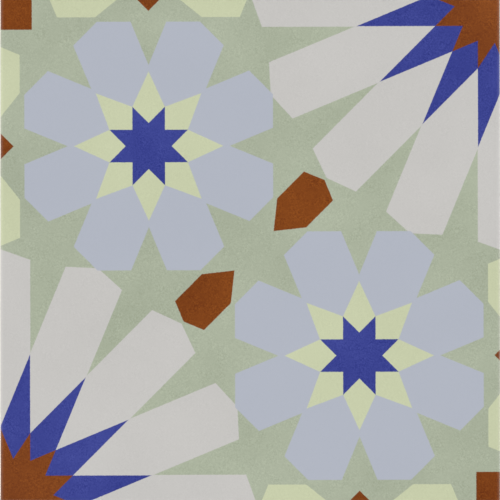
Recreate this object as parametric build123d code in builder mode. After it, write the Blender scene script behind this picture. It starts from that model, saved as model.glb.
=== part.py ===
from build123d import *
from math import radians, tan
import os

# Dry-pressed, glazed porcelain tile, lying face up.
#
# The tile is one pressed and fired body. Its printed face is flat and rolls over at a
# rounded arris. Its walls are widest at the line where the two halves of the press die
# meet, and lean inwards from there to the face and to the back. The back is keyed for
# adhesive: shallow pockets with sloping sides leave a grid of ribs inside a flat border.
#
# The origin is at the middle of the back, on the plane of the rib tops, with +Z through
# the glazed face. Lengths are in millimetres and angles in degrees.

# Overall size
side = 200.0  # across the walls at the die line, both ways
thickness = 9.0  # from the rib tops to the glazed face

# Pressed edge
die_line_depth = 3.5  # from the face down to the widest line of the walls
face_draft = 1.5  # lean of the walls above the die line
back_draft = 3.0  # lean of the walls below the die line
arris_radius = 0.8  # where the face rolls over into the walls
face_corner_radius = 0.4  # corners of the flat face, inside the arris
back_bevel = 0.5  # where the walls meet the back, at 45 degrees

# Keyed back
pockets_per_row = 7
key_border = 9.0  # flat border, from the bevel to the outer pockets
rib_width = 3.5  # between neighbouring pockets, at the rib tops
pocket_depth = 0.8
pocket_draft = 35.0  # lean of the pockets' sides
pocket_floor_radius = 2.0  # corners of a pocket's flat floor

# The corners at the die line leave room for the lean of the wall and for the arris.
arris_run = arris_radius * tan(radians(90 - face_draft) / 2)
face_lean = die_line_depth * tan(radians(face_draft))
corner_radius = face_corner_radius + arris_run + face_lean

# The back's flat square lies inside the lean of the wall and the bevel.
wall_depth = thickness - die_line_depth - back_bevel
back_lean = wall_depth * tan(radians(back_draft))
back_side = side - 2 * (back_lean + back_bevel)

# The pockets share what the border leaves.
key_side = back_side - 2 * key_border
pocket_side = (key_side - (pockets_per_row - 1) * rib_width) / pockets_per_row
pocket_pitch = pocket_side + rib_width
pocket_lean = pocket_depth * tan(radians(pocket_draft))

with BuildPart() as tile:
    # Body, pressed to both sides of the die line
    with BuildSketch(Plane.XY.offset(thickness - die_line_depth)) as die_opening:
        RectangleRounded(side, side, corner_radius)
    extrude(die_opening.sketch, amount=die_line_depth, taper=face_draft)
    extrude(die_opening.sketch, amount=-wall_depth, taper=back_draft)

    # Bevel that takes the sharp edge off the back
    extrude(tile.faces().sort_by(Axis.Z)[0], amount=back_bevel, taper=45)

    # Arris around the glazed face
    fillet(tile.faces().sort_by(Axis.Z)[-1].edges(), radius=arris_radius)

    # Adhesive key: a grid of pockets with sloping sides, sunk into the back
    with BuildSketch(Plane.XY) as pocket_mouths:
        with GridLocations(pocket_pitch, pocket_pitch, pockets_per_row, pockets_per_row):
            RectangleRounded(pocket_side, pocket_side, pocket_floor_radius + pocket_lean)
    extrude(pocket_mouths.sketch, amount=pocket_depth, taper=pocket_draft, mode=Mode.SUBTRACT)

tile.part.label = "tile"

os.makedirs("parts", exist_ok=True)
export_step(tile.part, "parts/tile.step")

print(f"pocket {pocket_side:.2f} mm square on a pitch of {pocket_pitch:.2f} mm")
print(f"volume {tile.part.volume / 1000:.1f} cm3, {len(tile.part.faces())} faces")
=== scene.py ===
# %% [markdown]
# # A printed porcelain tile
#
# The object is one dry-pressed, glazed and fired porcelain tile that lies face up. A
# traditional ornament of stars and petals is printed on it under a satin glaze. Its walls
# and its keyed back are bare fired clay. This lesson builds the tile's visible mesh around
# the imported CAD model, gives it its finishes and sets up a plain studio.
#
# We begin with the CAD model. Everything that follows is placed in its frame: the origin is
# at the middle of the back, +Z goes up through the glazed face, and lengths are in metres.

# %% Load the CAD frame
import bpy
from math import atan2, cos, hypot, pi, radians, sin, sqrt, tan
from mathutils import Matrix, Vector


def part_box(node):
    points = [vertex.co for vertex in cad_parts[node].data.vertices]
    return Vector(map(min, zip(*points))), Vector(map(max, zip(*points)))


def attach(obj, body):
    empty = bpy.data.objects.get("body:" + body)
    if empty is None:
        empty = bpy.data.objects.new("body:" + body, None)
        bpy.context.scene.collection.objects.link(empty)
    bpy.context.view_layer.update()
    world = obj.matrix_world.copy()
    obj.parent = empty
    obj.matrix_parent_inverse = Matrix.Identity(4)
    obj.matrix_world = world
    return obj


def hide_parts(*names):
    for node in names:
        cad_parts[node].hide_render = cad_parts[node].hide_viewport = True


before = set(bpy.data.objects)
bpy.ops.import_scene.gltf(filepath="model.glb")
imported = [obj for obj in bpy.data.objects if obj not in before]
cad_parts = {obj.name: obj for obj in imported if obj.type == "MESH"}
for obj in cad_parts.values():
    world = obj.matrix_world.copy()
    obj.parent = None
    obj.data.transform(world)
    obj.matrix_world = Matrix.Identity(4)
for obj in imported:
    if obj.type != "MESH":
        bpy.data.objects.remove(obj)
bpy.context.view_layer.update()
low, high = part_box("tile")
MM = 0.001  # a millimetre in Blender's metres

side = high[0] - low[0]
thickness = high[2] - low[2]
print(f"CAD tile: {side / MM:.1f} mm square, {thickness / MM:.1f} mm thick")

# %% [markdown]
# ## One way to add a node
#
# Shapes and finishes are both node trees here. A tree is easier to read in a script when
# every node is added in the same way: its kind, then what goes into each input, then its
# options. An input is named by its identifier, its label or its number, because some nodes
# have several inputs with the same label.

# %% Functions that feed an input and add a node
def feed(tree, socket, value):
    """Feeds an input: a socket or a list of them is linked, and anything else is its value."""
    if isinstance(value, list):
        for source in value:
            tree.links.new(source, socket)
    elif isinstance(value, bpy.types.NodeSocket):
        tree.links.new(value, socket)
    else:
        socket.default_value = value


def add_node(tree, kind, inputs=None, **options):
    """Adds one node with its options and feeds its inputs."""
    node = tree.nodes.new(kind)
    for name, value in options.items():
        setattr(node, name, value)
    for key, value in (inputs or {}).items():
        same = [socket for socket in node.inputs if socket.identifier == key]
        feed(tree, same[0] if same else node.inputs[key], value)
    return node


print("nodes are added by add_node")

# %% [markdown]
# ## The pressed section
#
# A tile press squeezes powder between two punches inside a die. The walls are widest where
# the punches meet, and lean in a little from there so that the tile leaves the die. The
# face rolls over at a small arris, and a bevel takes the sharp edge off the back.
#
# All of this is one section carried round a square with rounded corners, so a sweep makes
# it: Curve to Mesh carries a profile along an outline. The walls could also be modelled by
# hand, but then no size could be changed later. The sizes repeat those of the CAD model.
# The outline lies just inside the edge of the flat face. Outward lengths start at it, and
# depths start at the face.

# %% Sizes of the section
die_line_depth = 3.5 * MM  # from the face down to the widest line of the walls
face_draft = radians(1.5)  # lean of the walls above that line
back_draft = radians(3.0)  # lean of the walls below it
arris_radius = 0.8 * MM  # where the face rolls over into the walls
face_corner_radius = 0.4 * MM  # corners of the flat face, inside the arris
back_bevel = 0.5 * MM  # where the walls meet the back, at 45 degrees

# Below this depth the walls are bare clay all over.
bare_depth = 2.6 * MM

# The pressed edges of the back are not quite sharp.
back_edge_radius = 0.15 * MM

# A short flat run beside each rounded edge keeps the shading of the flat faces even.
flat_run = 0.25 * MM

arris_run = arris_radius * tan((pi / 2 - face_draft) / 2)
die_line_out = flat_run + arris_run + die_line_depth * tan(face_draft)
bare_out = flat_run + arris_run + bare_depth * tan(face_draft)
bevel_depth = thickness - back_bevel
bevel_out = die_line_out - (bevel_depth - die_line_depth) * tan(back_draft)
back_out = bevel_out - back_bevel
print(f"the walls reach {die_line_out / MM:.2f} mm out from the outline")

# %% [markdown]
# The tree takes these sizes as named inputs, so that they could also be changed in Blender's
# modifier panel. A modifier knows an input by its identifier, so each value is kept under
# that until the tree is run.

# %% A tree with named sizes
tile_tree = bpy.data.node_groups.new("Pressed tile", "GeometryNodeTree")
tile_values = {}


def add_size(name, value, kind="NodeSocketFloat"):
    """Gives the tree a named input, remembers the tile's value, and returns the identifier."""
    socket = tile_tree.interface.new_socket(name, in_out="INPUT", socket_type=kind)
    tile_values[socket.identifier] = value
    return socket.identifier


add_size("Outline Side", side - 2 * die_line_out)
add_size("Outline Corner", face_corner_radius - flat_run)
add_size("Arris Out", flat_run + arris_run)
add_size("Arris Radius", arris_radius)
add_size("Bare Out", bare_out)
add_size("Bare Depth", bare_depth)
add_size("Die Line Out", die_line_out)
add_size("Die Line Depth", die_line_depth)
add_size("Bevel Out", bevel_out)
add_size("Bevel Depth", bevel_depth)
add_size("Back Out", back_out)
add_size("Back Run Out", back_out - flat_run)
add_size("Back Edge Radius", back_edge_radius)
add_size("Thickness", thickness)
print(f"{len(tile_values)} sizes shape the section")

# %% [markdown]
# ## The adhesive key
#
# The back is sunk into a grid of shallow pockets with sloping sides, so that tile adhesive
# can grip between the ribs that are left. One pocket is another sweep, this time inwards
# from its mouth, and Instance on Points sets it out on a grid. Cutting the pockets with
# booleans would work too, but a sweep keeps the edges soft and the mesh clean.

# %% Sizes of the key
pockets_per_row = 7
key_border = 9.0 * MM  # flat border, from the bevel to the outer pockets
rib_width = 3.5 * MM  # between neighbouring pockets, at the rib tops
pocket_depth = 0.8 * MM
pocket_draft = radians(35.0)  # lean of the pockets' sides
pocket_floor_radius = 2.0 * MM  # corners of a pocket's flat floor
pocket_edge_radius = 0.3 * MM  # along the edges of its mouth and its floor

pocket_lean = pocket_depth * tan(pocket_draft)
back_side = side - 2 * (die_line_out - back_out)
key_side = back_side - 2 * key_border
pocket_side = (key_side - (pockets_per_row - 1) * rib_width) / pockets_per_row
pocket_pitch = pocket_side + rib_width

add_size("Mouth Side", pocket_side + 2 * flat_run)
add_size("Mouth Corner", pocket_floor_radius + pocket_lean + flat_run)
add_size("Pocket Edge", -flat_run)
add_size("Pocket Floor", -flat_run - pocket_lean)
add_size("Pocket Floor Run", -2 * flat_run - pocket_lean)
add_size("Pocket Floor Depth", thickness - pocket_depth)
add_size("Pocket Edge Radius", pocket_edge_radius)
add_size("Key Length", (pockets_per_row - 1) * pocket_pitch)
add_size("Pockets Per Row", pockets_per_row, "NodeSocketInt")
glaze_input = add_size("Glaze", None, "NodeSocketMaterial")
body_input = add_size("Body", None, "NodeSocketMaterial")
tile_tree.interface.new_socket("Tile", in_out="OUTPUT", socket_type="NodeSocketGeometry")
size = tile_tree.nodes.new("NodeGroupInput").outputs
print(f"key: {pockets_per_row} x {pockets_per_row} pockets, {pocket_side / MM:.2f} mm square")

# %% [markdown]
# ## Profiles and sweeps
#
# A profile is drawn through a few corners. A Mesh Line gives one point for each of them, and
# an Index Switch looks up where the point goes and how large the arc there is. On a sweep
# with its normals kept level, a profile's X axis points out of the outline and its Y axis
# points down, which is why the heights are written as depths below the face.

# %% Functions for a profile and a sweep
def add_profile(corners, arc_steps):
    """Draws a profile through corners, each given as (out, depth, radius of its arc)."""
    index = add_node(tile_tree, "GeometryNodeInputIndex").outputs[0]
    place = add_node(tile_tree, "GeometryNodeIndexSwitch", {0: index}, data_type="VECTOR")
    radius = add_node(tile_tree, "GeometryNodeIndexSwitch", {0: index}, data_type="FLOAT")
    # An Index Switch starts with two items.
    for _ in corners[2:]:
        place.index_switch_items.new()
        radius.index_switch_items.new()
    for number, (out, depth, arc) in enumerate(corners, start=1):
        corner = add_node(tile_tree, "ShaderNodeCombineXYZ", {"X": out, "Y": depth})
        feed(tile_tree, place.inputs[number], corner.outputs[0])
        feed(tile_tree, radius.inputs[number], arc)
    line = add_node(tile_tree, "GeometryNodeMeshLine", {"Count": len(corners)})
    placed = {"Geometry": line.outputs[0], "Position": place.outputs[0]}
    drawn = add_node(tile_tree, "GeometryNodeSetPosition", placed)
    curve = add_node(tile_tree, "GeometryNodeMeshToCurve", {"Mesh": drawn.outputs[0]})
    arcs = {"Curve": curve.outputs[0], "Count": arc_steps, "Radius": radius.outputs[0]}
    return add_node(tile_tree, "GeometryNodeFilletCurve", arcs, mode="POLY").outputs[0]


def add_sweep(length, corner, arc_steps, profile):
    """Sweeps a profile round a square of this length, with arcs at its corners."""
    square = add_node(tile_tree, "GeometryNodeCurvePrimitiveQuadrilateral", {
        "Width": length, "Height": length,
    }).outputs[0]
    arcs = {"Curve": square, "Count": arc_steps, "Radius": corner}
    outline = add_node(tile_tree, "GeometryNodeFilletCurve", arcs, mode="POLY").outputs[0]
    level = add_node(tile_tree, "GeometryNodeSetCurveNormal", {"Curve": outline}, mode="Z_UP")
    swept = {"Curve": level.outputs[0], "Profile Curve": profile}
    return add_node(tile_tree, "GeometryNodeCurveToMesh", swept).outputs[0]


print("a sweep carries a profile round an outline")

# %% Sweep the walls and one pocket
ARC_STEPS = 10  # points on each arc of the outline and of the walls' section
MOUTH_STEPS = 8  # points on each corner of a pocket
EDGE_STEPS = 3  # points on each rounded edge of a pocket
wall_section = [
    (0.0, 0.0, 0.0),
    (size["Arris Out"], 0.0, size["Arris Radius"]),
    (size["Bare Out"], size["Bare Depth"], 0.0),
    (size["Die Line Out"], size["Die Line Depth"], 0.0),
    (size["Bevel Out"], size["Bevel Depth"], size["Back Edge Radius"]),
    (size["Back Out"], size["Thickness"], size["Back Edge Radius"]),
    (size["Back Run Out"], size["Thickness"], 0.0),
]
pocket_section = [
    (0.0, size["Thickness"], 0.0),
    (size["Pocket Edge"], size["Thickness"], size["Pocket Edge Radius"]),
    (size["Pocket Floor"], size["Pocket Floor Depth"], size["Pocket Edge Radius"]),
    (size["Pocket Floor Run"], size["Pocket Floor Depth"], 0.0),
]
wall_profile = add_profile(wall_section, ARC_STEPS)
walls = add_sweep(size["Outline Side"], size["Outline Corner"], ARC_STEPS, wall_profile)
pocket_profile = add_profile(pocket_section, EDGE_STEPS)
pocket = add_sweep(size["Mouth Side"], size["Mouth Corner"], MOUTH_STEPS, pocket_profile)
print("walls and one pocket are swept")

# %% [markdown]
# ## Closing the body
#
# The sweeps are open rings. Their open edges are the ones with a face on one side only, so
# the tree finds them by their depth, turns them into curves and fills those: the face, the
# floors of the pockets, and the back with the pockets' mouths left out of it. Fill Curve
# works at height zero, so a filled sheet is moved down to its depth, and turned over where
# it faces down. Merge by Distance then joins all the sheets into one closed body.

# %% Functions that find open edges and fill them
level_slack = 0.01 * MM  # an edge this near to a depth counts as at it


def add_rim(mesh, depth):
    """Gives the open edges of a mesh at a depth below the face, as curves."""
    faces = add_node(tile_tree, "GeometryNodeInputMeshEdgeNeighbors").outputs[0]
    open_edge = add_node(tile_tree, "FunctionNodeCompare", {
        "A_INT": faces, "B_INT": 1,
    }, data_type="INT", operation="EQUAL").outputs[0]
    place = add_node(tile_tree, "GeometryNodeInputPosition").outputs[0]
    height = add_node(tile_tree, "ShaderNodeSeparateXYZ", {0: place}).outputs["Z"]
    above = add_node(tile_tree, "ShaderNodeMath", {0: height, 1: depth}, operation="ADD").outputs[0]
    level = add_node(tile_tree, "FunctionNodeCompare", {
        "A": above, "B": 0.0, "Epsilon": level_slack,
    }, data_type="FLOAT", operation="EQUAL").outputs[0]
    both = add_node(tile_tree, "FunctionNodeBooleanMath", {0: open_edge, 1: level}).outputs[0]
    rim = {"Mesh": mesh, "Selection": both}
    return add_node(tile_tree, "GeometryNodeMeshToCurve", rim).outputs[0]


def add_underside(curves, depth):
    """Fills curves with a sheet at a depth below the face, and turns it to face down."""
    sheet = add_node(tile_tree, "GeometryNodeFillCurve", {"Curve": curves})
    down = add_node(tile_tree, "ShaderNodeMath", {0: depth, 1: -1.0}, operation="MULTIPLY")
    offset = add_node(tile_tree, "ShaderNodeCombineXYZ", {"Z": down.outputs[0]})
    moved = {"Geometry": sheet.outputs[0], "Offset": offset.outputs[0]}
    sunk = add_node(tile_tree, "GeometryNodeSetPosition", moved)
    return add_node(tile_tree, "GeometryNodeFlipFaces", {"Mesh": sunk.outputs[0]}).outputs[0]


print(f"open edges are found within {level_slack / MM:.2f} mm of their depth")

# %% Fill the face, the pockets' floors and the back
floor_depth = size["Pocket Floor Depth"]
face = add_node(tile_tree, "GeometryNodeFillCurve", {"Curve": add_rim(walls, 0.0)}).outputs[0]
pocket_floor = add_underside(add_rim(pocket, floor_depth), floor_depth)
grid = add_node(tile_tree, "GeometryNodeMeshGrid", {
    "Size X": size["Key Length"], "Size Y": size["Key Length"],
    "Vertices X": size["Pockets Per Row"], "Vertices Y": size["Pockets Per Row"],
}).outputs[0]
closed_pocket = add_node(tile_tree, "GeometryNodeJoinGeometry", {
    0: [pocket, pocket_floor],
}).outputs[0]
pockets = add_node(tile_tree, "GeometryNodeInstanceOnPoints", {
    "Points": grid, "Instance": closed_pocket,
}).outputs[0]
mouths = add_node(tile_tree, "GeometryNodeInstanceOnPoints", {
    "Points": grid, "Instance": add_rim(pocket, size["Thickness"]),
}).outputs[0]
mouth_curves = add_node(tile_tree, "GeometryNodeRealizeInstances", {0: mouths}).outputs[0]
back_curves = add_node(tile_tree, "GeometryNodeJoinGeometry", {
    0: [add_rim(walls, size["Thickness"]), mouth_curves],
}).outputs[0]
back = add_underside(back_curves, size["Thickness"])
print("face, pocket floors and back are filled")

# %% Join the body and lift it to its height
merge_distance = 0.002 * MM

sheets = add_node(tile_tree, "GeometryNodeJoinGeometry", {
    0: [walls, face, pockets, back],
}).outputs[0]
body = add_node(tile_tree, "GeometryNodeRealizeInstances", {0: sheets}).outputs[0]
lift = add_node(tile_tree, "ShaderNodeCombineXYZ", {"Z": size["Thickness"]}).outputs[0]
lifted = add_node(tile_tree, "GeometryNodeSetPosition", {
    "Geometry": body, "Offset": lift,
}).outputs[0]
closed = add_node(tile_tree, "GeometryNodeMergeByDistance", {
    "Geometry": lifted, "Distance": merge_distance,
}).outputs[0]
print("the sheets are joined into one body")

# %% [markdown]
# The rounded edges are shaded smoothly, and only an edge that turns by a large angle stays
# sharp to the eye. The faces above the bare part of the walls then get the glaze, and all
# others the clay.

# %% Shading and materials
sharp_turn = radians(30)

edge_turn = add_node(tile_tree, "GeometryNodeInputMeshEdgeAngle").outputs[0]
is_sharp = add_node(tile_tree, "FunctionNodeCompare", {
    "A": edge_turn, "B": sharp_turn,
}, data_type="FLOAT", operation="GREATER_THAN").outputs[0]
smooth = add_node(tile_tree, "GeometryNodeSetShadeSmooth", {"Geometry": closed}, domain="FACE")
shaded = add_node(tile_tree, "GeometryNodeSetShadeSmooth", {
    "Geometry": smooth.outputs[0], "Selection": is_sharp, "Shade Smooth": False,
}, domain="EDGE").outputs[0]

place = add_node(tile_tree, "GeometryNodeInputPosition").outputs[0]
height = add_node(tile_tree, "ShaderNodeSeparateXYZ", {0: place}).outputs["Z"]
bare_height = add_node(tile_tree, "ShaderNodeMath", {
    0: size["Thickness"], 1: size["Bare Depth"],
}, operation="SUBTRACT").outputs[0]
is_glazed = add_node(tile_tree, "FunctionNodeCompare", {
    "A": height, "B": bare_height,
}, data_type="FLOAT", operation="GREATER_THAN").outputs[0]
clay = add_node(tile_tree, "GeometryNodeSetMaterial", {
    "Geometry": shaded, "Material": size["Body"],
}).outputs[0]
finished = add_node(tile_tree, "GeometryNodeSetMaterial", {
    "Geometry": clay, "Selection": is_glazed, "Material": size["Glaze"],
}).outputs[0]
add_node(tile_tree, "NodeGroupOutput", {0: finished})
print(f"tree 'Pressed tile' has {len(tile_tree.nodes)} nodes")

# %% [markdown]
# ## Colours
#
# Colours are written as sRGB hex values, the way a colour chart gives them. Blender's
# sockets take linear light, so one function converts them, with the numbers of the sRGB
# standard.

# %% A hex colour as linear light
def linear(code):
    """Turns an sRGB hex colour into the linear RGBA of a colour socket."""
    shares = [int(code[i:i + 2], 16) / 255 for i in (1, 3, 5)]
    return (*(c / 12.92 if c <= 0.04045 else ((c + 0.055) / 1.055) ** 2.4 for c in shares), 1.0)


print("mid grey #808080 is", round(linear("#808080")[0], 3), "in linear light")

# %% [markdown]
# ## Fired porcelain body
#
# The walls and the back are bare porcelain stoneware: ivory-grey clay, pressed from
# spray-dried granules that still show as a fine mottle, with a few darker specks of iron.
# The die drags fine upright lines down the walls, and a white dusting of kiln wash stays on
# the ribs of the back. Pictures of clay could be wrapped round the tile, but noise has no
# seams and keeps its real scale. The walls of the glazed side show this clay too, below the
# glaze, so it is a node group that two materials share. It reads Object coordinates in
# millimetres.

# %% A node group for the bare clay
clay_tree = bpy.data.node_groups.new("Fired porcelain body", "ShaderNodeTree")
clay_tree.interface.new_socket("Color", in_out="OUTPUT", socket_type="NodeSocketColor")
clay_tree.interface.new_socket("Height", in_out="OUTPUT", socket_type="NodeSocketFloat")

clay_place = add_node(clay_tree, "ShaderNodeTexCoord").outputs["Object"]
clay_mm = add_node(clay_tree, "ShaderNodeVectorMath", {
    0: clay_place, "Scale": 1 / MM,
}, operation="SCALE").outputs[0]
print("node group:", clay_tree.name)

# %% Granules and iron specks
NOISE_LOW, NOISE_HIGH = 0.3, 0.7  # nearly all of a noise lies between these
GRANULE = 0.45  # mm across one spray-dried granule
SPECK_SPACING = 2.2  # mm between iron specks
SPECK_CORE, SPECK_RIM = 0.04, 0.09  # in spacings, where a speck starts to fade and where it ends
SPECK_COVER = 0.75  # how much of the clay's tone a speck hides

granules = add_node(clay_tree, "ShaderNodeTexNoise", {
    "Vector": clay_mm, "Scale": 1 / GRANULE, "Detail": 2.0, "Roughness": 0.6,
}).outputs[0]
mottle = add_node(clay_tree, "ShaderNodeMapRange", {
    "Value": granules, "From Min": NOISE_LOW, "From Max": NOISE_HIGH,
}).outputs[0]
tone = add_node(clay_tree, "ShaderNodeMix", {
    "Factor_Float": mottle, "A_Color": linear("#c3b9a8"), "B_Color": linear("#d6cdbf"),
}, data_type="RGBA").outputs[2]

specks = add_node(clay_tree, "ShaderNodeTexVoronoi", {
    "Vector": clay_mm, "Scale": 1 / SPECK_SPACING,
}).outputs["Distance"]
speck = add_node(clay_tree, "ShaderNodeMapRange", {
    "Value": specks, "From Min": SPECK_CORE, "From Max": SPECK_RIM,
    "To Min": SPECK_COVER, "To Max": 0.0,
}).outputs[0]
specked = add_node(clay_tree, "ShaderNodeMix", {
    "Factor_Float": speck, "A_Color": tone, "B_Color": linear("#8f806b"),
}, data_type="RGBA").outputs[2]
print(f"clay: {GRANULE} mm granules, specks {SPECK_SPACING} mm apart")

# %% Drag lines of the die
DRAG_WIDTH = 0.5  # mm across one drag line
DRAG_LENGTH = 14.0  # mm down a drag line
DRAG_DARK, DRAG_PALE = 0.93, 1.05  # shade of the clay along such lines

drag_mm = add_node(clay_tree, "ShaderNodeMapping", {
    "Vector": clay_mm, "Scale": (1 / DRAG_WIDTH, 1 / DRAG_WIDTH, 1 / DRAG_LENGTH),
}).outputs[0]
drag = add_node(clay_tree, "ShaderNodeTexNoise", {
    "Vector": drag_mm, "Scale": 1.0, "Detail": 3.0,
}).outputs[0]
drag_shade = add_node(clay_tree, "ShaderNodeMapRange", {
    "Value": drag, "From Min": NOISE_LOW, "From Max": NOISE_HIGH,
    "To Min": DRAG_DARK, "To Max": DRAG_PALE,
}).outputs[0]
dragged = add_node(clay_tree, "ShaderNodeVectorMath", {
    0: specked, "Scale": drag_shade,
}, operation="SCALE").outputs[0]
print(f"drag lines: {DRAG_WIDTH} mm wide")

# %% Kiln wash, and what the group gives
WASH_PATCH = 3.0  # mm across a patch of kiln wash
WASH_LOW, WASH_HIGH = 0.38, 0.62  # closer than the noise's range, so that patches have edges
WASH_THIN, WASH_THICK = 0.1, 0.85  # how much of the clay it hides between patches and in them
WASH_HEIGHT = 0.12  # mm above the bedding plane that the wash reaches

clay_height = add_node(clay_tree, "ShaderNodeSeparateXYZ", {0: clay_mm}).outputs["Z"]
low_ribs = add_node(clay_tree, "ShaderNodeMapRange", {
    "Value": clay_height, "From Min": 0.0, "From Max": WASH_HEIGHT, "To Min": 1.0, "To Max": 0.0,
}).outputs[0]
wash_noise = add_node(clay_tree, "ShaderNodeTexNoise", {
    "Vector": clay_mm, "Scale": 1 / WASH_PATCH, "Detail": 6.0, "Roughness": 0.7,
}).outputs[0]
wash_patch = add_node(clay_tree, "ShaderNodeMapRange", {
    "Value": wash_noise, "From Min": WASH_LOW, "From Max": WASH_HIGH,
    "To Min": WASH_THIN, "To Max": WASH_THICK,
}).outputs[0]
wash = add_node(clay_tree, "ShaderNodeMath", {
    0: low_ribs, 1: wash_patch,
}, operation="MULTIPLY").outputs[0]
washed = add_node(clay_tree, "ShaderNodeMix", {
    "Factor_Float": wash, "A_Color": dragged, "B_Color": linear("#e9e6df"),
}, data_type="RGBA").outputs[2]

clay_relief = add_node(clay_tree, "ShaderNodeMath", {
    0: drag, 1: granules,
}, operation="ADD").outputs[0]
add_node(clay_tree, "NodeGroupOutput", {"Color": washed, "Height": clay_relief})
print(f"kiln wash: up to {WASH_HEIGHT} mm above the bedding plane")

# %% [markdown]
# The bare clay as a material of its own is then only a rough, unpolished surface: no gloss,
# and a fine tooth that catches raking light.

# %% The bare clay as a material
# Porcelain stoneware, pressed and fired without glaze: dull, close-grained, ivory-grey.
CLAY_ROUGHNESS = 0.82
FIRED_IOR = 1.5  # of the clay and of its glaze
TOOTH_STRENGTH = 0.5
TOOTH_DEPTH = 0.06  # mm between the highs and the lows of the clay's surface

clay_material = bpy.data.materials.new("pressed_porcelain_body")
clay_material.use_nodes = True
nodes = clay_material.node_tree
nodes.nodes.clear()
bare_clay = add_node(nodes, "ShaderNodeGroup", node_tree=clay_tree).outputs
tooth = add_node(nodes, "ShaderNodeBump", {
    "Height": bare_clay["Height"], "Strength": TOOTH_STRENGTH, "Distance": TOOTH_DEPTH * MM,
}).outputs[0]
surface = add_node(nodes, "ShaderNodeBsdfPrincipled", {
    "Base Color": bare_clay["Color"], "Roughness": CLAY_ROUGHNESS, "IOR": FIRED_IOR,
    "Normal": tooth,
}).outputs[0]
add_node(nodes, "ShaderNodeOutputMaterial", {"Surface": surface})
print("material:", clay_material.name)

# %% [markdown]
# ## The printed ornament
#
# The ornament is an old one of the star-and-rosette family, drawn with compass and straight
# edge. One diagonal has two rosettes with eight petals. The other has two brown shields, and
# in its corners quarters of rosettes with sixteen petals. Cream shields, brown diamonds and
# small brown corners fill the sides, and the ground is green.
#
# An image would be the usual way to put a print on a tile. Straight edges need none: the
# plane is folded along the ornament's mirror lines until all copies of a shape lie on top of
# each other, and each shape is then a few straight cuts in the folded plane. The print stays
# sharp at any distance, and each of its sizes can be read and changed.
#
# The print is laid down a little to the right of the tile's middle and turned by a sixth of a
# degree, as a real one is. Its axes A and B run along the tile's diagonals.

# %% Fold the plane about the diagonals
glaze_material = bpy.data.materials.new("satin_printed_glaze")
glaze_material.use_nodes = True
ink_tree = glaze_material.node_tree
ink_tree.nodes.clear()

PRINT_CENTRE = (1.48 * MM, -0.39 * MM, 0.0)  # from the tile's middle to the print's
PRINT_TURN = radians(0.154)
EDGE_WOBBLE = 0.06  # mm that the ink's edges wander
WOBBLE_LENGTH = 0.7  # mm along an edge from one wander to the next

glaze_place = add_node(ink_tree, "ShaderNodeTexCoord").outputs["Object"]
diagonal_mm = add_node(ink_tree, "ShaderNodeMapping", {
    "Vector": glaze_place, "Location": PRINT_CENTRE,
    "Rotation": (0.0, 0.0, PRINT_TURN - pi / 4), "Scale": (MM, MM, MM),
}, vector_type="TEXTURE").outputs[0]
wander = add_node(ink_tree, "ShaderNodeTexNoise", {
    "Vector": diagonal_mm, "Scale": 1 / WOBBLE_LENGTH, "Detail": 1.0,
}).outputs["Color"]
# A noise keeps to about half of its range, so the whole range is twice the wobble.
wander_mm = add_node(ink_tree, "ShaderNodeMapRange", {
    "Vector": wander, "From_Min_FLOAT3": (0, 0, 0), "From_Max_FLOAT3": (1, 1, 1),
    "To_Min_FLOAT3": (-2 * EDGE_WOBBLE,) * 3, "To_Max_FLOAT3": (2 * EDGE_WOBBLE,) * 3,
}, data_type="FLOAT_VECTOR").outputs["Vector"]
drawn_mm = add_node(ink_tree, "ShaderNodeVectorMath", {
    0: diagonal_mm, 1: wander_mm,
}, operation="ADD").outputs[0]
quarter = add_node(ink_tree, "ShaderNodeVectorMath", {0: drawn_mm}, operation="ABSOLUTE").outputs[0]
quarter_axes = add_node(ink_tree, "ShaderNodeSeparateXYZ", {0: quarter}).outputs
A, B = quarter_axes["X"], quarter_axes["Y"]
print("the plane is folded to one quarter")

# %% [markdown]
# A point of a folded plane is kept as (x, y, 1). The distance from a straight cut is then one
# Dot Product with (cos angle, sin angle, -reach), where the angle is the direction in which
# the cut faces and the reach is how far it is from the fold's origin. Wedges come from polar
# angles that go back and forth between two mirror lines, which is Math's Ping-Pong.

# %% Functions for folded planes
def add_measure(point, angle, reach):
    """Measures how far a point (x, y, 1) is outside a cut that faces this way."""
    cut = (cos(angle), sin(angle), -reach)
    return add_node(ink_tree, "ShaderNodeVectorMath", {
        0: point, 1: cut,
    }, operation="DOT_PRODUCT").outputs["Value"]


def add_wedge(x, y, petals):
    """Folds the plane round its origin into half a petal, which starts at the x axis."""
    plane = add_node(ink_tree, "ShaderNodeCombineXYZ", {"X": x, "Y": y}).outputs[0]
    radius = add_node(ink_tree, "ShaderNodeVectorMath", {0: plane}, operation="LENGTH")
    angle = add_node(ink_tree, "ShaderNodeMath", {0: y, 1: x}, operation="ARCTAN2").outputs[0]
    folded = add_node(ink_tree, "ShaderNodeMath", {
        0: angle, 1: pi / petals,
    }, operation="PINGPONG").outputs[0]
    wedge = {"Z": 1.0}
    for axis, operation in (("X", "COSINE"), ("Y", "SINE")):
        share = add_node(ink_tree, "ShaderNodeMath", {0: folded}, operation=operation).outputs[0]
        wedge[axis] = add_node(ink_tree, "ShaderNodeMath", {
            0: radius.outputs["Value"], 1: share,
        }, operation="MULTIPLY").outputs[0]
    return add_node(ink_tree, "ShaderNodeCombineXYZ", wedge).outputs[0]


print("cuts and wedges are ready")

# %% The folded planes
HALF_MODULE = 100.99  # mm from the print's middle to the middle of its sides
ROSETTE = 41.70  # mm from the print's middle lines to the eight-petalled rosettes

# The quarter itself, seen along either diagonal
corner_plane = add_node(ink_tree, "ShaderNodeCombineXYZ", {"X": A, "Y": B, "Z": 1.0}).outputs[0]
shield_plane = add_node(ink_tree, "ShaderNodeCombineXYZ", {"X": B, "Y": A, "Z": 1.0}).outputs[0]

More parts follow.
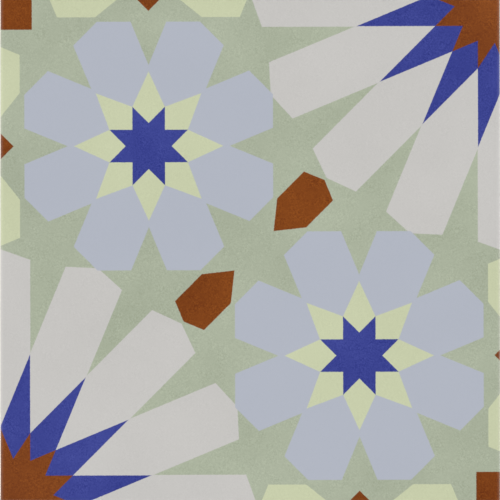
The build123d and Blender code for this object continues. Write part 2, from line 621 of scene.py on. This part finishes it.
# Along a side from the foot of a rosette, and in from that side
to_side = add_measure(corner_plane, radians(-135), -HALF_MODULE)
past_rosette = add_measure(corner_plane, radians(-45), ROSETTE)
along_side = add_node(ink_tree, "ShaderNodeMath", {0: past_rosette}, operation="ABSOLUTE").outputs[0]
side_plane = add_node(ink_tree, "ShaderNodeCombineXYZ", {
    "X": along_side, "Y": to_side, "Z": 1.0,
}).outputs[0]

# Half a petal round the middle of a rosette, and half a petal round a corner
from_rosette = add_measure(corner_plane, 0.0, ROSETTE * sqrt(2))
eight_petals = add_wedge(from_rosette, B, 8)
from_corner = add_measure(corner_plane, radians(-90), -HALF_MODULE * sqrt(2))
sixteen_petals = add_wedge(from_corner, A, 16)

# A large star, with the other one turned onto it, so that its two ends stay apart
drawn_axes = add_node(ink_tree, "ShaderNodeSeparateXYZ", {0: drawn_mm}).outputs
which_star = add_node(ink_tree, "ShaderNodeMath", {0: drawn_axes["Y"]}, operation="SIGN").outputs[0]
either_way = add_node(ink_tree, "ShaderNodeMath", {
    0: drawn_axes["X"], 1: which_star,
}, operation="MULTIPLY").outputs[0]
large_star = add_node(ink_tree, "ShaderNodeCombineXYZ", {
    "X": from_corner, "Y": either_way, "Z": 1.0,
}).outputs[0]
print("folded planes: corners, shields, sides, eight petals, sixteen petals, large stars")

# %% [markdown]
# Each shape is now a list of cuts. Where two corners of a shape are easier to name than the
# way its side faces, a function works out the cut through them.
#
# One detail breaks the mirror: in both large stars, the last blue kite towards the tile's left
# or right side runs a little deeper into the brown. It is drawn in the plane that tells the
# two ends of a star apart.

# %% The shapes of the ornament, in millimetres
def cut_through(start, end):
    """The cut along a side, with the inside of the shape on its right: (angle, reach)."""
    across = (start[1] - end[1], end[0] - start[0])
    angle = atan2(across[1], across[0])
    return angle, start[0] * cos(angle) + start[1] * sin(angle)


# Half of a shield, from its long point to its blunt one
SHIELD_CORNERS = [(11.03, 0.0), (21.19, 8.14), (36.29, 8.14), (39.67, 0.0)]
shield = [cut_through(*ends) for ends in zip(SHIELD_CORNERS, SHIELD_CORNERS[1:])]

SMALL_STAR = 6.46  # from the rosette's middle to the lines of its star
KITE_TIP = 29.65  # from the rosette's middle to the tips of the cream kites
LILAC_HALF = 12.32  # half the width of a lilac petal
OCTAGON = 49.36  # from the rosette's middle to the ends of its petals
star_point = SMALL_STAR / cos(radians(67.5))
star_notch = (star_point * cos(pi / 8), star_point * sin(pi / 8))

LARGE_STAR = 11.95  # from the tile's corner to the lines of its star
WHITE_HALF = 12.11  # half the width of a white petal
WHITE_END = (radians(19.82), 95.95)  # the slanting end of a white petal
DEEPER = pi / 16  # turn of one side of the last blue kite, about the tip of its spike
OVERLAP = 0.5  # the deeper part reaches into its kite by this, so that no line shows there
spike_tip = (LARGE_STAR / tan(pi / 8), LARGE_STAR)
deeper_kite = [
    cut_through(spike_tip, (spike_tip[0] - cos(DEEPER), spike_tip[1] - sin(DEEPER))),
    (radians(157.5), -LARGE_STAR),
    (radians(90), LARGE_STAR + OVERLAP),
    (0.0, spike_tip[0]),
]
CORNER_SQUARE = 13.00  # side of a small brown square in a corner
DIAMOND = 5.64  # from the middle of a brown diamond to its points
print(f"a shield has {len(shield)} cuts, and the deeper kite has {len(deeper_kite)}")

# %% The order in which the shapes are printed
layers = [
    ("cream", side_plane, shield),
    ("brown", side_plane, [(radians(45), DIAMOND / sqrt(2))]),
    ("brown", corner_plane, [(radians(135), CORNER_SQUARE - HALF_MODULE)]),
    ("white", sixteen_petals, [(radians(90), WHITE_HALF), WHITE_END]),
    ("blue", sixteen_petals, [(radians(-67.5), LARGE_STAR)]),
    ("brown", sixteen_petals, [(radians(67.5), LARGE_STAR)]),
    ("blue", large_star, deeper_kite),
    ("lilac", eight_petals, [(radians(-67.5), LILAC_HALF), (0.0, OCTAGON)]),
    ("cream", eight_petals, [cut_through(star_notch, (KITE_TIP, 0.0))]),
    ("blue", eight_petals, [(radians(-45), SMALL_STAR)]),
    ("brown", shield_plane, shield),
]
print(f"{len(layers)} layers of ink over the green ground")

# %% [markdown]
# The inks are ceramic stains, jetted in fine drops that melt a little into the glaze. Each is
# a slightly lively colour: two close tones mixed by a fine grain, which is stronger in some
# patches than in others, and by faint wide clouds. The grain is drawn at about half a
# millimetre, coarser than the real drops, so that the render can show it.

# %% The grain of the inks
GRAIN = 0.55  # mm across the grain of the ink
GRAIN_PATCH = 5.0  # mm across a patch of stronger or weaker grain
GRAIN_WEAK, GRAIN_STRONG = 0.4, 2.0  # strength of the grain in such patches
CLOUD = 28.0  # mm across a cloud of deeper or paler ink
CLOUD_SHARE = 0.2  # how far a cloud moves an ink between its two tones
MIDDLE = 0.5  # the middle of a noise, and half way between two tones

drops = add_node(ink_tree, "ShaderNodeTexNoise", {
    "Vector": diagonal_mm, "Scale": 1 / GRAIN, "Detail": 1.0,
}).outputs[0]
patches = add_node(ink_tree, "ShaderNodeTexNoise", {
    "Vector": diagonal_mm, "Scale": 1 / GRAIN_PATCH, "Detail": 2.0,
}).outputs[0]
liveliness = add_node(ink_tree, "ShaderNodeMapRange", {
    "Value": patches, "From Min": NOISE_LOW, "From Max": NOISE_HIGH,
    "To Min": GRAIN_WEAK, "To Max": GRAIN_STRONG,
}).outputs[0]
clouds = add_node(ink_tree, "ShaderNodeTexNoise", {
    "Vector": diagonal_mm, "Scale": 1 / CLOUD, "Detail": 4.0,
}).outputs[0]
cloudiness = add_node(ink_tree, "ShaderNodeMapRange", {
    "Value": clouds, "From Min": NOISE_LOW, "From Max": NOISE_HIGH,
    "To Min": MIDDLE - CLOUD_SHARE, "To Max": MIDDLE + CLOUD_SHARE,
}).outputs[0]
off_middle = add_node(ink_tree, "ShaderNodeMath", {
    0: drops, 1: MIDDLE,
}, operation="SUBTRACT").outputs[0]
grain = add_node(ink_tree, "ShaderNodeMath", {
    0: off_middle, 1: liveliness, 2: cloudiness,
}, operation="MULTIPLY_ADD", use_clamp=True).outputs[0]
print(f"grain of {GRAIN} mm in patches of {GRAIN_PATCH:.0f} mm")

# %% Lay down the inks
INK_EDGE = 0.2  # mm over which an ink fades out at its edge
inks = {
    "green": ("#9aa28d", "#b4bca7"),
    "cream": ("#c0c6a4", "#cad0ae"),
    "white": ("#c0bebb", "#c9c7c4"),
    "lilac": ("#aeb3bf", "#b1b6c2"),
    "blue": ("#20297a", "#454e9c"),
    "brown": ("#602600", "#8f4d18"),
}
tones = {}
for name, (dark, pale) in inks.items():
    tones[name] = add_node(ink_tree, "ShaderNodeMix", {
        "Factor_Float": grain, "A_Color": linear(dark), "B_Color": linear(pale),
    }, data_type="RGBA").outputs[2]

ink = tones["green"]
for name, plane, cuts in layers:
    outside = add_measure(plane, *cuts[0])
    for cut in cuts[1:]:
        outside = add_node(ink_tree, "ShaderNodeMath", {
            0: outside, 1: add_measure(plane, *cut),
        }, operation="MAXIMUM").outputs[0]
    covers = add_node(ink_tree, "ShaderNodeMapRange", {
        "Value": outside, "From Min": -INK_EDGE / 2, "From Max": INK_EDGE / 2,
        "To Min": 1.0, "To Max": 0.0,
    }).outputs[0]
    ink = add_node(ink_tree, "ShaderNodeMix", {
        "Factor_Float": covers, "A_Color": ink, "B_Color": tones[name],
    }, data_type="RGBA").outputs[2]
print(f"{len(inks)} inks of two tones each")

# %% [markdown]
# ## Where the print and the glaze end
#
# The print is a little narrower than the tile, so a fine line of pale base glaze shows along
# two of its edges. Along those two edges a pale painted highlight is also added over the ink,
# strongest at the edge and gone a millimetre or two in. The ink was jetted from above, so it
# stops on the arris. The base glaze runs on a short way down the walls and ends in a ragged
# line on the bare clay. Masks could be painted for all this. Distances in millimetres need no
# painting, and can be read off the real tile.

# %% Margins of the print
PRINT_LEFT = 99.12  # mm from the tile's middle to the left side of the print
PRINT_RIGHT = 99.10  # mm from the tile's middle to the right side of the print
PRINT_TAPER = radians(0.045)  # the print's right side leans in by this towards its top
PRINT_DEPTH = 0.8  # mm down the arris that the ink reaches

tile_mm = add_node(ink_tree, "ShaderNodeVectorMath", {
    0: glaze_place, "Scale": 1 / MM,
}, operation="SCALE").outputs[0]
tile_axes = add_node(ink_tree, "ShaderNodeSeparateXYZ", {0: tile_mm}).outputs
depth = add_node(ink_tree, "ShaderNodeMath", {
    0: thickness / MM, 1: tile_axes["Z"],
}, operation="SUBTRACT").outputs[0]
below = add_node(ink_tree, "ShaderNodeMath", {0: depth, 1: PRINT_DEPTH}, operation="SUBTRACT").outputs[0]
tile_plane = add_node(ink_tree, "ShaderNodeCombineXYZ", {
    "X": tile_axes["X"], "Y": tile_axes["Y"], "Z": 1.0,
}).outputs[0]
left = add_measure(tile_plane, pi, PRINT_LEFT)
right = add_measure(tile_plane, PRINT_TAPER, PRINT_RIGHT)
beside = add_node(ink_tree, "ShaderNodeMath", {0: left, 1: right}, operation="MAXIMUM").outputs[0]
off_print = add_node(ink_tree, "ShaderNodeMath", {0: below, 1: beside}, operation="MAXIMUM").outputs[0]
unprinted = add_node(ink_tree, "ShaderNodeMapRange", {
    "Value": off_print, "From Min": -INK_EDGE / 2, "From Max": INK_EDGE / 2,
}).outputs[0]
print(f"the print is {PRINT_LEFT + PRINT_RIGHT:.1f} mm wide")

# %% Base glaze beside the print, and a painted highlight over the ink near it
# Pale base glaze, which is also the colour of the painted highlight.
BASE_GLAZE_AND_SHEEN = linear("#e6e4de")
PAINTED_SHEEN_WIDTH = 1.9  # mm in from those sides that the painted highlight reaches over the ink
PAINTED_SHEEN_POWER = 3.0  # how steeply the painted highlight brightens towards them
PAINTED_SHEEN = 0.14  # how much pale light the painted highlight adds right at those sides

# Painted highlight: pale light over the ink that grows towards the print's left and right sides.
sheen_near_side = add_node(ink_tree, "ShaderNodeMapRange", {
    "Value": beside, "From Min": -PAINTED_SHEEN_WIDTH, "From Max": 0.0,
}).outputs[0]
sheen_steepened = add_node(ink_tree, "ShaderNodeMath", {
    0: sheen_near_side, 1: PAINTED_SHEEN_POWER,
}, operation="POWER").outputs[0]
painted_sheen = add_node(ink_tree, "ShaderNodeMath", {0: sheen_steepened, 1: PAINTED_SHEEN}, operation="MULTIPLY").outputs[0]
# The painted highlight is added to the ink's colour here; the unprinted margin then shows the base
# glaze.
with_painted_sheen = add_node(ink_tree, "ShaderNodeMix", {
    "Factor_Float": painted_sheen, "A_Color": ink, "B_Color": BASE_GLAZE_AND_SHEEN,
}, data_type="RGBA", blend_type="ADD").outputs[2]
glazed = add_node(ink_tree, "ShaderNodeMix", {
    "Factor_Float": unprinted, "A_Color": with_painted_sheen, "B_Color": BASE_GLAZE_AND_SHEEN,
}, data_type="RGBA").outputs[2]
# The width printed here is how far the painted highlight reaches over the ink.
print(f"the base glaze creeps {PAINTED_SHEEN_WIDTH} mm over the ink")

# %% The line where the glaze ends
GLAZE_DEPTH = 1.5  # mm down the walls that the glaze reaches
GLAZE_RAGGED = 1.0  # mm between its highest and its lowest runs
RAG_LENGTH = 2.5  # mm along the walls from one run to the next
THIN_FROM, THIN_TO = -0.15, 0.25  # mm below that line, where the glaze starts to thin and is gone

runs = add_node(ink_tree, "ShaderNodeTexNoise", {
    "Vector": tile_mm, "Scale": 1 / RAG_LENGTH, "Detail": 4.0,
}).outputs[0]
run_depth = add_node(ink_tree, "ShaderNodeMapRange", {
    "Value": runs, "From Min": NOISE_LOW, "From Max": NOISE_HIGH,
    "To Min": GLAZE_DEPTH - GLAZE_RAGGED / 2, "To Max": GLAZE_DEPTH + GLAZE_RAGGED / 2,
}).outputs[0]
past_run = add_node(ink_tree, "ShaderNodeMath", {
    0: depth, 1: run_depth,
}, operation="SUBTRACT").outputs[0]
bare = add_node(ink_tree, "ShaderNodeMapRange", {
    "Value": past_run, "From Min": THIN_FROM, "From Max": THIN_TO,
}).outputs[0]
print(f"glaze ends {GLAZE_DEPTH} mm down the walls")

# %% [markdown]
# ## Satin glaze
#
# A satin glaze is glass with fine crystals in it. It spreads highlights softly, and its skin
# is not quite flat: it has the faint, wide ripple of a sprayed coat. Roughness and two scales
# of bump give that. Where the glaze ends, its roughness and the finer bump give way to the
# clay's own.

# %% The glaze as a material
# Satin-matt glaze, sprayed on and fired: soft sheen, faint ripple, colour from the inks below.
SATIN_ROUGHNESS = 0.35
RIPPLE = 2.4  # mm across one ripple of the glaze
RIPPLE_STRENGTH = 0.35
RIPPLE_DEPTH = 0.02  # mm
SATIN = 0.3  # mm across the fine unevenness that makes it satin
SATIN_STRENGTH = 0.3
SATIN_DEPTH = 0.006  # mm

wall_clay = add_node(ink_tree, "ShaderNodeGroup", node_tree=clay_tree).outputs
colour = add_node(ink_tree, "ShaderNodeMix", {
    "Factor_Float": bare, "A_Color": glazed, "B_Color": wall_clay["Color"],
}, data_type="RGBA").outputs[2]
roughness = add_node(ink_tree, "ShaderNodeMapRange", {
    "Value": bare, "To Min": SATIN_ROUGHNESS, "To Max": CLAY_ROUGHNESS,
}).outputs[0]
ripple = add_node(ink_tree, "ShaderNodeTexNoise", {
    "Vector": tile_mm, "Scale": 1 / RIPPLE, "Detail": 1.0,
}).outputs[0]
rippled = add_node(ink_tree, "ShaderNodeBump", {
    "Height": ripple, "Strength": RIPPLE_STRENGTH, "Distance": RIPPLE_DEPTH * MM,
}).outputs[0]
satin = add_node(ink_tree, "ShaderNodeTexNoise", {
    "Vector": tile_mm, "Scale": 1 / SATIN, "Detail": 1.0,
}).outputs[0]
skin = add_node(ink_tree, "ShaderNodeMix", {
    "Factor_Float": bare, "A_Float": satin, "B_Float": wall_clay["Height"],
}, data_type="FLOAT").outputs[0]
relief = add_node(ink_tree, "ShaderNodeBump", {
    "Height": skin, "Strength": SATIN_STRENGTH, "Distance": SATIN_DEPTH * MM, "Normal": rippled,
}).outputs[0]
surface = add_node(ink_tree, "ShaderNodeBsdfPrincipled", {
    "Base Color": colour, "Roughness": roughness, "IOR": FIRED_IOR, "Normal": relief,
}).outputs[0]
add_node(ink_tree, "ShaderNodeOutputMaterial", {"Surface": surface})
print(f"material: {glaze_material.name}, {len(ink_tree.nodes)} nodes")

# %% [markdown]
# ## Making the tile
#
# The tree is run once on an empty carrier object, and what it makes is kept as a plain mesh
# with its place in its points. The tile stands for the CAD node and rides on the part's only
# body.

# %% Run the tree and keep its mesh
tile_values[glaze_input] = glaze_material
tile_values[body_input] = clay_material

carrier = bpy.data.objects.new("carrier", bpy.data.meshes.new("carrier"))
bpy.context.scene.collection.objects.link(carrier)
press = carrier.modifiers.new("Pressed tile", "NODES")
press.node_group = tile_tree
for identifier, value in tile_values.items():
    press[identifier] = value
evaluated = carrier.evaluated_get(bpy.context.evaluated_depsgraph_get())
tile_mesh = bpy.data.meshes.new_from_object(evaluated)
bpy.data.objects.remove(carrier)

# The carrier's own empty material slot came along and is dropped.
for slot in reversed(range(len(tile_mesh.materials))):
    if tile_mesh.materials[slot] is None:
        tile_mesh.materials.pop(index=slot)

tile = bpy.data.objects.new("porcelain_tile", tile_mesh)
bpy.context.scene.collection.objects.link(tile)
finishes = [material.name for material in tile_mesh.materials]
print(f"{tile.name}: {len(tile_mesh.vertices)} points, {len(tile_mesh.polygons)} faces, {finishes}")

# %% [markdown]
# When the tile is exported, its finishes are baked into pictures through a UV map. The
# printed face is what matters, so it gets most of the map. The four walls are strips above
# it, and the plain back has the column that is left.

# %% A map for the bake
FACE_SHARE = 0.78  # of the map's width, for the face
GAP = 0.01  # of the map's width, around each piece of it
STRIP = 0.04  # of the map's height, for each wall

bake_map = tile_mesh.uv_layers.new(name="OFBake")
back_share = 1 - FACE_SHARE - 3 * GAP
for polygon in tile_mesh.polygons:
    x, y, z = polygon.center
    on_face = z > thickness - arris_radius
    on_back = z < pocket_depth + level_slack and max(abs(x), abs(y)) < back_side / 2
    along_x = abs(y) > abs(x)
    strip = 2 * along_x + ((y if along_x else x) > 0)
    for corner in polygon.loop_indices:
        point = tile_mesh.vertices[tile_mesh.loops[corner].vertex_index].co
        across, up = point.x / side + 0.5, point.y / side + 0.5
        if on_face:
            spot = (GAP + FACE_SHARE * across, GAP + FACE_SHARE * up)
        elif on_back:
            spot = (1 - GAP - back_share * across, GAP + back_share * up)
        else:
            along = across if along_x else up
            foot = FACE_SHARE + 2 * GAP + strip * (STRIP + GAP)
            spot = (GAP + FACE_SHARE * along, foot + STRIP * point.z / thickness)
        bake_map.data[corner].uv = spot
print(f"map: the face takes {FACE_SHARE:.0%} of the width")

# %% Tie the tile to the frame
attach(tile, "root")
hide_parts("tile")
print("porcelain_tile stands for the CAD node 'tile'")

# %% [markdown]
# ## The studio
#
# The tile lies on a pale, matt floor that runs out into a pale backdrop. Two large soft boxes
# face it from far out on one diagonal, as for a catalogue picture of a flat thing, so that
# neither is mirrored in the glaze for the camera straight above. The rest of the room is a dim
# light that fills the shadows.
#
# The light and the background are kept apart. The camera sees the backdrop, and so does the
# glaze where it mirrors the room, while all other rays meet the room's own light. Both fade
# out overhead, which keeps the dark inks dark from above.

# %% Rays that see the background
def add_seen(tree):
    """Picks out the rays that see the background: the camera's, mirrored and refracted ones."""
    rays = add_node(tree, "ShaderNodeLightPath").outputs
    seen = rays["Is Camera Ray"]
    for kind in ("Is Glossy Ray", "Is Transmission Ray"):
        seen = add_node(tree, "ShaderNodeMath", {
            0: seen, 1: rays[kind],
        }, operation="MAXIMUM").outputs[0]
    return seen


print("camera, glossy and transmission rays see the background")

# %% Floor
FLOOR_SIZE = 8.0  # m
HAZE_START, HAZE_FULL = 0.2, 0.7  # m from the tile, where the floor fades into the background
BACKGROUND = linear("#eceae6")

floor_mesh = bpy.data.meshes.new("floor")
half = FLOOR_SIZE / 2
floor_corners = [(-half, -half, 0), (half, -half, 0), (half, half, 0), (-half, half, 0)]
floor_mesh.from_pydata(floor_corners, [], [(0, 1, 2, 3)])
floor = bpy.data.objects.new("floor", floor_mesh)
bpy.context.scene.collection.objects.link(floor)

# Matt painted board: pale and even, with no sheen, fading into the background far away.
board = bpy.data.materials.new("matt_painted_board")
board.use_nodes = True
nodes = board.node_tree
nodes.nodes.clear()
paint = add_node(nodes, "ShaderNodeBsdfDiffuse", {"Color": linear("#e8e6e2")})
haze = add_node(nodes, "ShaderNodeEmission", {"Color": BACKGROUND})
floor_place = add_node(nodes, "ShaderNodeTexCoord").outputs["Object"]
away = add_node(nodes, "ShaderNodeVectorMath", {0: floor_place}, operation="LENGTH").outputs["Value"]
far = add_node(nodes, "ShaderNodeMapRange", {
    "Value": away, "From Min": HAZE_START, "From Max": HAZE_FULL,
}, interpolation_type="SMOOTHSTEP").outputs[0]
hazy = add_node(nodes, "ShaderNodeMath", {0: far, 1: add_seen(nodes)}, operation="MULTIPLY").outputs[0]
blend = add_node(nodes, "ShaderNodeMixShader", {0: hazy, 1: paint.outputs[0], 2: haze.outputs[0]})
add_node(nodes, "ShaderNodeOutputMaterial", {"Surface": blend.outputs[0]})
floor_mesh.materials.append(board)
print(f"floor: {FLOOR_SIZE:.0f} m square")

# %% Room
# Heights are those of a ray's direction, from 0 at the horizon to 1 overhead.
ROOM_HORIZON, ROOM_SIDES = 0.35, 0.6  # strength of the light low down and half way up
HORIZON_TOP, SIDES_FOOT = 0.3, 0.6  # heights between which the first goes over into the second
OVERHEAD = 0.04  # share of the light and of the backdrop that is left overhead
FADE_START, FADE_END = 0.65, 0.85  # heights between which both fade to that

world = bpy.data.worlds.new("studio")
world.use_nodes = True
nodes = world.node_tree
nodes.nodes.clear()
way = add_node(nodes, "ShaderNodeTexCoord").outputs["Generated"]
up = add_node(nodes, "ShaderNodeSeparateXYZ", {0: way}).outputs["Z"]
sides = add_node(nodes, "ShaderNodeMapRange", {
    "Value": up, "From Min": HORIZON_TOP, "From Max": SIDES_FOOT,
    "To Min": ROOM_HORIZON, "To Max": ROOM_SIDES,
}, interpolation_type="SMOOTHSTEP").outputs[0]
fading = add_node(nodes, "ShaderNodeMapRange", {
    "Value": up, "From Min": FADE_START, "From Max": FADE_END, "To Min": 1.0, "To Max": OVERHEAD,
}, interpolation_type="SMOOTHSTEP").outputs[0]
room = add_node(nodes, "ShaderNodeMath", {0: sides, 1: fading}, operation="MULTIPLY").outputs[0]
light = add_node(nodes, "ShaderNodeBackground", {"Color": linear("#ffffff"), "Strength": room})
backdrop = add_node(nodes, "ShaderNodeBackground", {"Color": BACKGROUND, "Strength": fading})
blend = add_node(nodes, "ShaderNodeMixShader", {
    0: add_seen(nodes), 1: light.outputs[0], 2: backdrop.outputs[0],
})
add_node(nodes, "ShaderNodeOutputWorld", {"Surface": blend.outputs[0]})
bpy.context.scene.world = world
print(f"room: {OVERHEAD:.0%} of its light is left overhead")

# %% Soft boxes
BOX_LENGTH = 3.0  # m across the diagonal
BOX_HEIGHT = 1.6  # m
BOX_OUT = 2.6  # m from the tile's middle, along the floor
BOX_UP = 1.6  # m above the floor
BOX_POWER = 79.6  # W
for number, turn in enumerate((radians(45), radians(225))):
    lamp = bpy.data.lights.new(f"soft_box_{number}", "AREA")
    lamp.shape = "RECTANGLE"
    lamp.size = BOX_HEIGHT
    lamp.size_y = BOX_LENGTH
    lamp.energy = BOX_POWER
    box = bpy.data.objects.new(lamp.name, lamp)
    box.location = (BOX_OUT * cos(turn), BOX_OUT * sin(turn), BOX_UP)
    box.rotation_euler = (0.0, atan2(BOX_OUT, BOX_UP), turn)
    box.visible_camera = False
    bpy.context.scene.collection.objects.link(box)
print(f"soft boxes: {hypot(BOX_OUT, BOX_UP):.2f} m away, on one diagonal")

# %% [markdown]
# ## The camera
#
# The photograph looks straight down, and the tile's face fills its frame. A long lens keeps
# the walls out of sight. Its distance follows from how wide the frame is on the face.

# %% Camera straight above the face
LENS = 100.0  # mm
SENSOR = 36.0  # mm
FRAME_WIDTH = 198.5 * MM  # what the frame shows of the face
CAMERA_ASIDE = (-0.12 * MM, -0.08 * MM)  # from the tile's middle to the frame's

camera_data = bpy.data.cameras.new("camera")
camera_data.lens = LENS
camera_data.sensor_width = SENSOR
camera_data.sensor_fit = "HORIZONTAL"
camera_data.clip_start = 10 * MM
camera = bpy.data.objects.new("camera", camera_data)
camera.location = (*CAMERA_ASIDE, thickness + FRAME_WIDTH * LENS / SENSOR)
bpy.context.scene.collection.objects.link(camera)
bpy.context.scene.camera = camera
bpy.context.scene.view_settings.view_transform = "Standard"
print(f"camera {camera.location.z:.3f} m above the floor")
